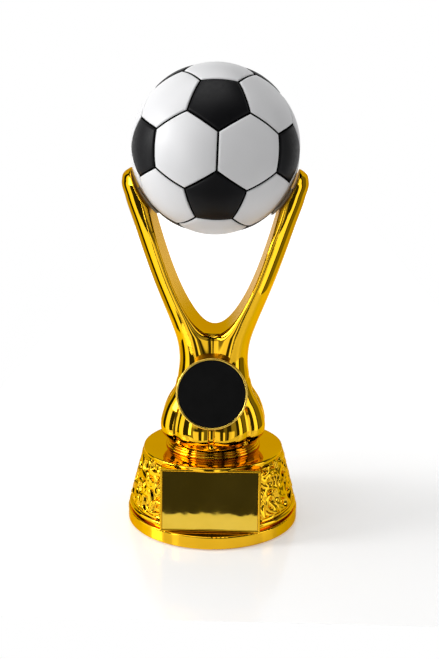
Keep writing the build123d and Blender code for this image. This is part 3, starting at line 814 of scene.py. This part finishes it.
# Each bead from the bottom up: inset and height of its centre, radius, half turn in degrees and
# points, then the inset of the groove over it
COLLAR_BEADS = (
    (0.55, 0.55, 0.55, 80, 8, 0.75),
    (0.85, 1.62, 0.42, 75, 8, 1.05),
    (1.10, 2.34, 0.22, 60, 5, 1.30),
)
COLLAR_GROOVES = (1.16, 2.10)  # heights; the last groove is at the top
COLLAR_FOOT_INSET = 0.5


def add_collar():
    """The stepped ring between the bulb and the base."""
    low, high = box_mm("collar_ring")
    bottom, top, reach = low[2], high[2], high[0]
    grooves = [bottom + height for height in COLLAR_GROOVES] + [top]
    profile = [(COLLAR_BORE, top), (COLLAR_BORE, bottom), (reach - COLLAR_FOOT_INSET, bottom)]
    for (inset, height, radius, turn, steps, groove), level in zip(COLLAR_BEADS, grooves):
        profile += arc((reach - inset, bottom + height), radius, -turn, turn, steps)
        profile.append((reach - groove, level))
    add_turned("collar_rings", "gold_plating", profile[::-1], ["collar_ring"])


add_bulb()
add_collar()

# ---------------------------------------------------------------- medallion

MEDALLION_RADIUS = 12.5
MEDALLION_RIM = 0.9
MEDALLION_CENTRE = np.array((0, -18.6, 56.0))
MEDALLION_LEAN = 15.0  # degrees back from upright
MEDALLION_RECESS = 1.2
MEDALLION_DEPTH = 6.5
MEDALLION_CLEARANCE = 0.05  # round the insert
RIM_ROUND = 0.425  # radius of the rim's half-round top
RIM_STEPS = 14
PINHOLE = 0.01  # radius at which a closed profile ends on the axis


def add_medallion_holder():
    """The drum that holds the black disc, with its thin raised rim."""
    inner, outer = MEDALLION_RADIUS + MEDALLION_CLEARANCE, MEDALLION_RADIUS + MEDALLION_RIM
    profile = [(PINHOLE, -MEDALLION_DEPTH), (outer, -MEDALLION_DEPTH), (outer, -1.0)]
    profile += arc(((inner + outer) / 2, -RIM_ROUND), RIM_ROUND, 0, 180, RIM_STEPS)
    profile += [(inner, -0.6), (inner, -MEDALLION_RECESS), (PINHOLE, -MEDALLION_RECESS)]
    tilt = math.radians(90 - MEDALLION_LEAN)
    add_turned(
        "medallion_bezel",
        "gold_plating",
        profile,
        ["medallion_holder"],
        segments=320,
        frame_of=(MEDALLION_CENTRE, tilt),
        # a paler copy of the plating: its colour is painted highlight for the rim's caught light
        finish=gold_plating("bezel_highlight_gold", 0.24, 0.01, BEZEL_HIGHLIGHT_TINT),
    )


add_medallion_holder()

# ---------------------------------------------------------------- base

FRAME_WIDTH, FRAME_HEIGHT = 37.4, 23.8
FRAME_LEAN = 6.0  # degrees back from upright
FRAME_CORNER = np.array((0, -28.9, 5.4))  # middle of the frame's lower edge
PLATE_RECESS = 0.85
FRAME_DEPTH = 8.0
# Inset from the frame's outline and depth, from its hidden back over its rim to the plate's bed
FRAME_PROFILE = (
    (0.5, -FRAME_DEPTH),
    (0.0, -FRAME_DEPTH),
    (0.0, -0.4),
    (0.03, -0.2),
    (0.12, -0.06),
    (0.28, 0.0),
    (0.55, -0.01),
    (0.72, -0.07),
    (0.84, -0.2),
    (0.9, -0.4),
    (0.9, -PLATE_RECESS),
    (1.4, -PLATE_RECESS),
)
FRAME_CORNER_RADIUS, FRAME_CORNER_STEPS = 0.5, 6
FRAME_CORNER_SHRINK = 0.4  # of the corner's radius for each millimetre of inset
FRAME_LEAST_RADIUS = 0.1

_, base_high = box_mm("base_body")
CONE_BOTTOM, CONE_BOTTOM_RADIUS = 8.3, 32.0
CONE_TOP, CONE_TOP_RADIUS = 28.4, 26.75
DISC_RADIUS = 27.2
DISC_TOP = base_high[2]
DISC_BOTTOM = CONE_TOP - 0.6
DISC_EDGE_ROUND = 0.6
RELIEF_STEP = 0.2
RELIEF_WALL = 1.6
RELIEF_SEED = 11
RELIEF_FLOOR = 0.45  # depth of the ground between the ropes
RELIEF_SOFTENINGS = 3
PLAIN_BORDER, FOOT_FADE, TOP_FADE = 0.5, 1.0, 0.8  # the relief's edges on the cone
ROPE_WAVES = 16
FINE_ROPES, COARSE_ROPES = (6.6, 0.66), (10.0, 0.72)  # wavelength, half width
ROPE_HEIGHT, COARSE_SHARE = 0.9, 0.9
AREA_PER_BEAD, AREA_PER_CURL = 24, 60  # square millimetres
BEAD_SIZES, BEAD_STRETCHES, BEAD_LIFT = (0.5, 0.85), (0.6, 1.0), 0.25
CURL_RADII, CURL_TUBES = (0.9, 1.6), (0.32, 0.46)
CURL_SPANS = (3.4, 5.0)  # radians
CURL_HEIGHT, CURL_LIFT = 1.9, 0.2  # height over the tube's radius, and added to it
CURL_TIGHTENING = 0.35  # share of its radius that a curl loses over its span
FAR = 9  # a distance outside every curl
FRAME_OVERLAP = 0.2  # how far the cone runs in behind the nameplate's frame


def add_plate_frame():
    """The raised frame round the nameplate, from nested rounded rectangles."""
    lean = math.radians(FRAME_LEAN)
    outward = np.array((0, -math.cos(lean), math.sin(lean)))
    up = np.array((0, math.sin(lean), math.cos(lean)))
    middle = FRAME_CORNER + up * FRAME_HEIGHT / 2
    points = []
    for inset, depth in FRAME_PROFILE:
        half = np.array((FRAME_WIDTH / 2 - inset, FRAME_HEIGHT / 2 - inset))
        radius = max(FRAME_CORNER_RADIUS - inset * FRAME_CORNER_SHRINK, FRAME_LEAST_RADIUS)
        for start, signs in ((0, (1, 1)), (90, (-1, 1)), (180, (-1, -1)), (270, (1, -1))):
            for a in np.radians(np.linspace(start, start + 90, FRAME_CORNER_STEPS)):
                across = (half - radius) * signs + radius * np.array((math.cos(a), math.sin(a)))
                points.append(middle + np.array((across[0], 0, 0)) + up * across[1] + outward * depth)
    count = 4 * FRAME_CORNER_STEPS
    faces = grid_faces(len(FRAME_PROFILE), count, closed=True)
    faces.append(tuple(range(count))[::-1])
    last = (len(FRAME_PROFILE) - 1) * count
    faces.append(tuple(range(last, last + count)))
    add_piece("nameplate_frame", "relief_gold", points, faces, ["base_body"])


def add_base_disc():
    """The disc on top of the cone, with rounded edges and the rod's hole."""
    top = DISC_TOP
    profile = [(ROD_HOLE, DISC_BOTTOM), (DISC_RADIUS - 1.2, DISC_BOTTOM)]
    profile.append((DISC_RADIUS - 0.55, CONE_TOP - 0.25))
    profile += arc((DISC_RADIUS - 0.3, CONE_TOP + 0.15), 0.3, -70, 0, 5)
    profile += arc((DISC_RADIUS - DISC_EDGE_ROUND, top - DISC_EDGE_ROUND), DISC_EDGE_ROUND, 0, 90, 10)
    profile += [(DISC_RADIUS - 3, top), (DISC_RADIUS - 8, top), (ROD_HOLE, top)]
    add_turned("base_disc", "relief_gold", profile, ["base_body"], segments=320)


def wandering_ropes(u, v, wavelength, half_width, rng):
    """Round ropes, one high at the crest, along the zero lines of a smooth random field."""
    field, slope_u, slope_v = 0, 0, 0
    for _ in range(ROPE_WAVES):
        heading, phase = rng.uniform(0, 2 * math.pi, 2)
        pace = 2 * math.pi / (wavelength * rng.uniform(0.8, 1.3))
        angle = pace * (math.cos(heading) * u + math.sin(heading) * v) + phase
        field = field + np.sin(angle)
        slope_u = slope_u + pace * math.cos(heading) * np.cos(angle)
        slope_v = slope_v + pace * math.sin(heading) * np.cos(angle)
    distance = np.abs(field) / (np.hypot(slope_u, slope_v) + 1.2)
    return np.sqrt(np.clip(1 - (distance / half_width) ** 2, 0, 1))


def relief_height(u, v, length, height, rng):
    """Scroll relief over the cone, in millimetres: wandering stems, beads and curls."""
    fine = wandering_ropes(u, v, *FINE_ROPES, rng)
    coarse = wandering_ropes(u, v, *COARSE_ROPES, rng)
    relief = ROPE_HEIGHT * np.maximum(fine, COARSE_SHARE * coarse)
    for _ in range(int(length * height / AREA_PER_BEAD)):
        at_u, at_v = rng.uniform(0, length), rng.uniform(0, height)
        size = rng.uniform(*BEAD_SIZES)
        stretch = rng.uniform(*BEAD_STRETCHES)
        square = size**2 - (u - at_u) ** 2 - ((v - at_v) * stretch) ** 2
        bead = np.where(square > 0, BEAD_LIFT + np.sqrt(np.maximum(square, 0)), 0)
        relief = np.maximum(relief, bead)
    for _ in range(int(length * height / AREA_PER_CURL)):
        at_u, at_v = rng.uniform(0, length), rng.uniform(0, height)
        ring, tube = rng.uniform(*CURL_RADII), rng.uniform(*CURL_TUBES)
        start, span = rng.uniform(0, 2 * math.pi), rng.uniform(*CURL_SPANS)
        angle = (np.arctan2(v - at_v, u - at_u) - start) % (2 * math.pi)
        radial = np.hypot(u - at_u, v - at_v) - ring * (1 - CURL_TIGHTENING * angle / span)
        distance = np.where(angle < span, np.abs(radial), FAR)
        dome = np.sqrt(np.maximum(tube**2 - distance**2, 0))
        relief = np.maximum(relief, CURL_HEIGHT * dome + CURL_LIFT * (distance < tube))
    return relief


def soften(grid, times):
    """Averages each value, counted twice, with its four neighbours."""
    for _ in range(times):
        padded = np.pad(grid, 1, mode="edge")
        around = padded[:-2, 1:-1] + padded[2:, 1:-1] + padded[1:-1, :-2] + padded[1:-1, 2:]
        grid = (around + 2 * grid) / 6
    return grid


def add_base_relief():
    """The cone of the base with its cast scroll relief, open behind the nameplate."""
    slant = math.hypot(CONE_TOP - CONE_BOTTOM, CONE_BOTTOM_RADIUS - CONE_TOP_RADIUS)
    rows = int(slant / RELIEF_STEP)
    middle_radius = (CONE_BOTTOM_RADIUS + CONE_TOP_RADIUS) / 2
    share = np.linspace(0, 1, rows)[:, None]
    radius = CONE_BOTTOM_RADIUS + (CONE_TOP_RADIUS - CONE_BOTTOM_RADIUS) * share
    edge = np.arcsin((FRAME_WIDTH / 2 - FRAME_OVERLAP) / radius)
    length = (2 * math.pi - 2 * edge.mean()) * middle_radius
    columns = int(length / RELIEF_STEP)
    along = np.linspace(0, 1, columns)[None]
    angle = edge + (2 * math.pi - 2 * edge) * along
    u, v = angle * middle_radius, np.repeat(share * slant, columns, axis=1)
    rng = np.random.default_rng(RELIEF_SEED)
    relief = relief_height(u, v, 2 * math.pi * middle_radius, slant, rng)
    calm = 0.5 + 0.5 * np.sin(0.23 * u + 2.0 * np.sin(0.3 * v)) * np.sin(0.45 * v + 1.0)
    relief = soften(relief, RELIEF_SOFTENINGS) * (0.8 + 0.2 * calm)
    foot = smooth_step(PLAIN_BORDER, PLAIN_BORDER + FOOT_FADE, v)
    top = smooth_step(slant - PLAIN_BORDER - TOP_FADE, slant - PLAIN_BORDER, v)
    border = foot * (1 - top)
    height = border * (relief - RELIEF_FLOOR * (1 - np.clip(relief / 0.5, 0, 1)))
    tilt = math.atan2(CONE_BOTTOM_RADIUS - CONE_TOP_RADIUS, CONE_TOP - CONE_BOTTOM)
    reach = radius + height * math.cos(tilt)
    level = CONE_BOTTOM + (CONE_TOP - CONE_BOTTOM) * share + height * math.sin(tilt)
    outer = np.stack([reach * np.sin(angle), -reach * np.cos(angle), level], -1)
    inner_rows = []
    for row in (rows - 1, 0):
        inner = radius[row] - RELIEF_WALL
        z = np.full(columns, CONE_BOTTOM + (CONE_TOP - CONE_BOTTOM) * share[row, 0])
        inner_rows.append(np.stack([inner * np.sin(angle[row]), -inner * np.cos(angle[row]), z], -1))
    points = np.concatenate([outer.reshape(-1, 3)] + inner_rows)
    faces = grid_faces(rows + 2, columns)
    last = (rows + 1) * columns
    for k in range(columns - 1):
        faces.append((last + k, last + k + 1, k + 1, k))
    first_end = tuple(row * columns for row in range(rows + 2))
    faces.append(first_end[::-1])
    faces.append(tuple(start + columns - 1 for start in first_end))
    add_piece("base_relief", "relief_gold", points, faces, ["base_body"])


add_plate_frame()
add_base_disc()
add_base_relief()

# ---------------------------------------------------------------- studio

FLOOR_LEFT, FLOOR_RIGHT = -0.125, 0.16
FLOOR_FRONT, FLOOR_BACK = -0.083, 1.6
FLOOR_GLOW = 0.33  # brightness of its own, from below, at the trophy
FLOOR_GLOW_FAR = 0.95  # and far behind it, where it blends into the white
FLOOR_ROUGHNESS = 0.15


def stage_floor():
    """A white acrylic sheet, lit from below, with a white surrounding beyond its edges."""
    mesh = bpy.data.meshes.new("floor")
    outline = [(FLOOR_LEFT, FLOOR_FRONT), (FLOOR_RIGHT, FLOOR_FRONT)]
    outline += [(FLOOR_RIGHT, FLOOR_BACK), (FLOOR_LEFT, FLOOR_BACK)]
    mesh.from_pydata([(x, y, 0) for x, y in outline], [], [tuple(range(len(outline)))])
    floor = bpy.data.objects.new("floor", mesh)
    bpy.context.scene.collection.objects.link(floor)
    material, tree, shader = new_material("floor_white")
    tint = ramp(tree, noise(tree, 8), [(0.3, grey(0.86)), (0.7, grey(0.88))])
    tree.links.new(tint, shader.inputs["Base Color"])
    shader.inputs["Roughness"].default_value = FLOOR_ROUGHNESS
    where = tree.nodes.new("ShaderNodeTexCoord")
    split = tree.nodes.new("ShaderNodeSeparateXYZ")
    tree.links.new(where.outputs["Object"], split.inputs["Vector"])
    glow = ramp(tree, split.outputs["Y"], [(0.0, grey(FLOOR_GLOW)), (0.5, grey(FLOOR_GLOW_FAR))])
    tree.links.new(glow, shader.inputs["Emission Color"])
    shader.inputs["Emission Strength"].default_value = 1.0
    mesh.materials.append(material)


def softbox(name, location, target, size, power):
    """A rectangular area light aimed at a point; reflections show it, the camera does not."""
    light = bpy.data.lights.new(name, "AREA")
    light.shape = "RECTANGLE"
    light.size, light.size_y = size
    light.energy = power
    lamp = bpy.data.objects.new(name, light)
    lamp.location = location
    lamp.rotation_euler = (Vector(target) - Vector(location)).to_track_quat("-Z", "Y").to_euler()
    lamp.visible_camera = False
    bpy.context.scene.collection.objects.link(lamp)


# The room that the object reflects, as (start angle, brightness) strips. Angles are in degrees
# from the camera's side, left negative. The softboxes stand inside it.
ROOM_WALLS = ((-180, 0.75), (-129, 0.02), (-80, 0.03), (-56, 0.28), (-34, 0.04), (6, 0.18))
ROOM_WALLS += ((22, 0.03), (38, 0.32), (56, 0.03), (98, 0.20), (126, 0.75))
# White cards below the horizon, and a screen above it
FRONT_CARDS = ((-180, 0), (-38, 1.2), (-14, 0), (3, 1.4), (12, 0), (30, 1.0), (48, 0))
FRONT_SCREEN = ((-180, 0), (-45, 0.6), (-20, 0))
# Lowest and highest height of each in the view direction, from -1 to 1
WALLS_BAND, CARDS_BAND, SCREEN_BAND = (-0.96, 0.6), (-0.62, 0.02), (0.16, 0.5)
BAND_EDGE = 0.04  # height over which a band fades
EDGE_ANGLE = 2.5  # degrees over which one brightness turns into the next


def round_room(tree, turn, strips):
    """Brightness round the room from (start angle, value) strips."""
    stops = [(0.0, grey(strips[0][1]))]
    for (_, before), (start, after) in zip(strips, strips[1:]):
        at = (start + 180) / 360
        stops += [(at, grey(before)), (at + EDGE_ANGLE / 360, grey(after))]
    stops.append((1.0, grey(strips[-1][1])))
    return ramp(tree, turn, stops)


def height_band(tree, height, low, high):
    """One between two heights of the view direction, zero elsewhere."""
    stops = [(0, grey(0)), ((low - BAND_EDGE + 1) / 2, grey(0)), ((low + 1) / 2, grey(1))]
    stops += [((high + 1) / 2, grey(1)), ((high + BAND_EDGE + 1) / 2, grey(0)), (1, grey(0))]
    return ramp(tree, math_node(tree, "MULTIPLY_ADD", height, 0.5, 0.5), stops)


def studio_world():
    """White where the camera looks past the object; for reflections, the room."""
    world = bpy.data.worlds.new("studio")
    bpy.context.scene.world = world
    world.use_nodes = True
    tree = world.node_tree
    tree.nodes.clear()
    where = tree.nodes.new("ShaderNodeTexCoord")
    split = tree.nodes.new("ShaderNodeSeparateXYZ")
    tree.links.new(where.outputs["Generated"], split.inputs["Vector"])
    ahead = math_node(tree, "MULTIPLY", split.outputs["Y"], -1)
    angle = math_node(tree, "ARCTAN2", split.outputs["X"], ahead)
    turn = math_node(tree, "MULTIPLY_ADD", angle, 0.5 / math.pi, 0.5)
    parts = []
    for strips, band in (
        (ROOM_WALLS, WALLS_BAND),
        (FRONT_CARDS, CARDS_BAND),
        (FRONT_SCREEN, SCREEN_BAND),
    ):
        level = height_band(tree, split.outputs["Z"], *band)
        parts.append(math_node(tree, "MULTIPLY", round_room(tree, turn, strips), level))
    walls, cards, screen = parts
    room = math_node(tree, "ADD", math_node(tree, "ADD", walls, cards), screen)
    seen = tree.nodes.new("ShaderNodeLightPath")
    shown = mix_colours(tree, seen.outputs["Is Camera Ray"], room, grey(1.0))
    background = tree.nodes.new("ShaderNodeBackground")
    tree.links.new(shown, background.inputs["Color"])
    output = tree.nodes.new("ShaderNodeOutputWorld")
    tree.links.new(background.outputs["Background"], output.inputs["Surface"])


def radiance_power(radiance, size):
    """Watts that make a one-sided rectangular lamp of this size look that bright."""
    return radiance * size[0] * size[1] * math.pi


stage_floor()
studio_world()
MIDDLE = (0, 0, 0.09)  # of the trophy; all lamps point at it
# Each lamp's name, place, width and height, and radiance
LAMPS = (
    ("top_softbox", (-0.10, -0.05, 0.80), (0.60, 0.60), 2.3),
    ("left_softbox", (-0.75, 0.03, 0.05), (0.38, 1.30), 1.5),
    ("right_softbox", (0.75, -0.12, 0.05), (0.26, 1.30), 1.7),
    ("key_softbox", (-0.60, -0.55, 0.25), (0.12, 0.80), 4.4),
    ("high_softbox", (-0.50, -0.12, 0.30), (0.18, 0.18), 13.0),
)
for lamp_name, spot, size, radiance in LAMPS:
    softbox(lamp_name, spot, MIDDLE, size, radiance_power(radiance, size))
bpy.context.scene.view_settings.view_transform = "Standard"  # keeps the whites white
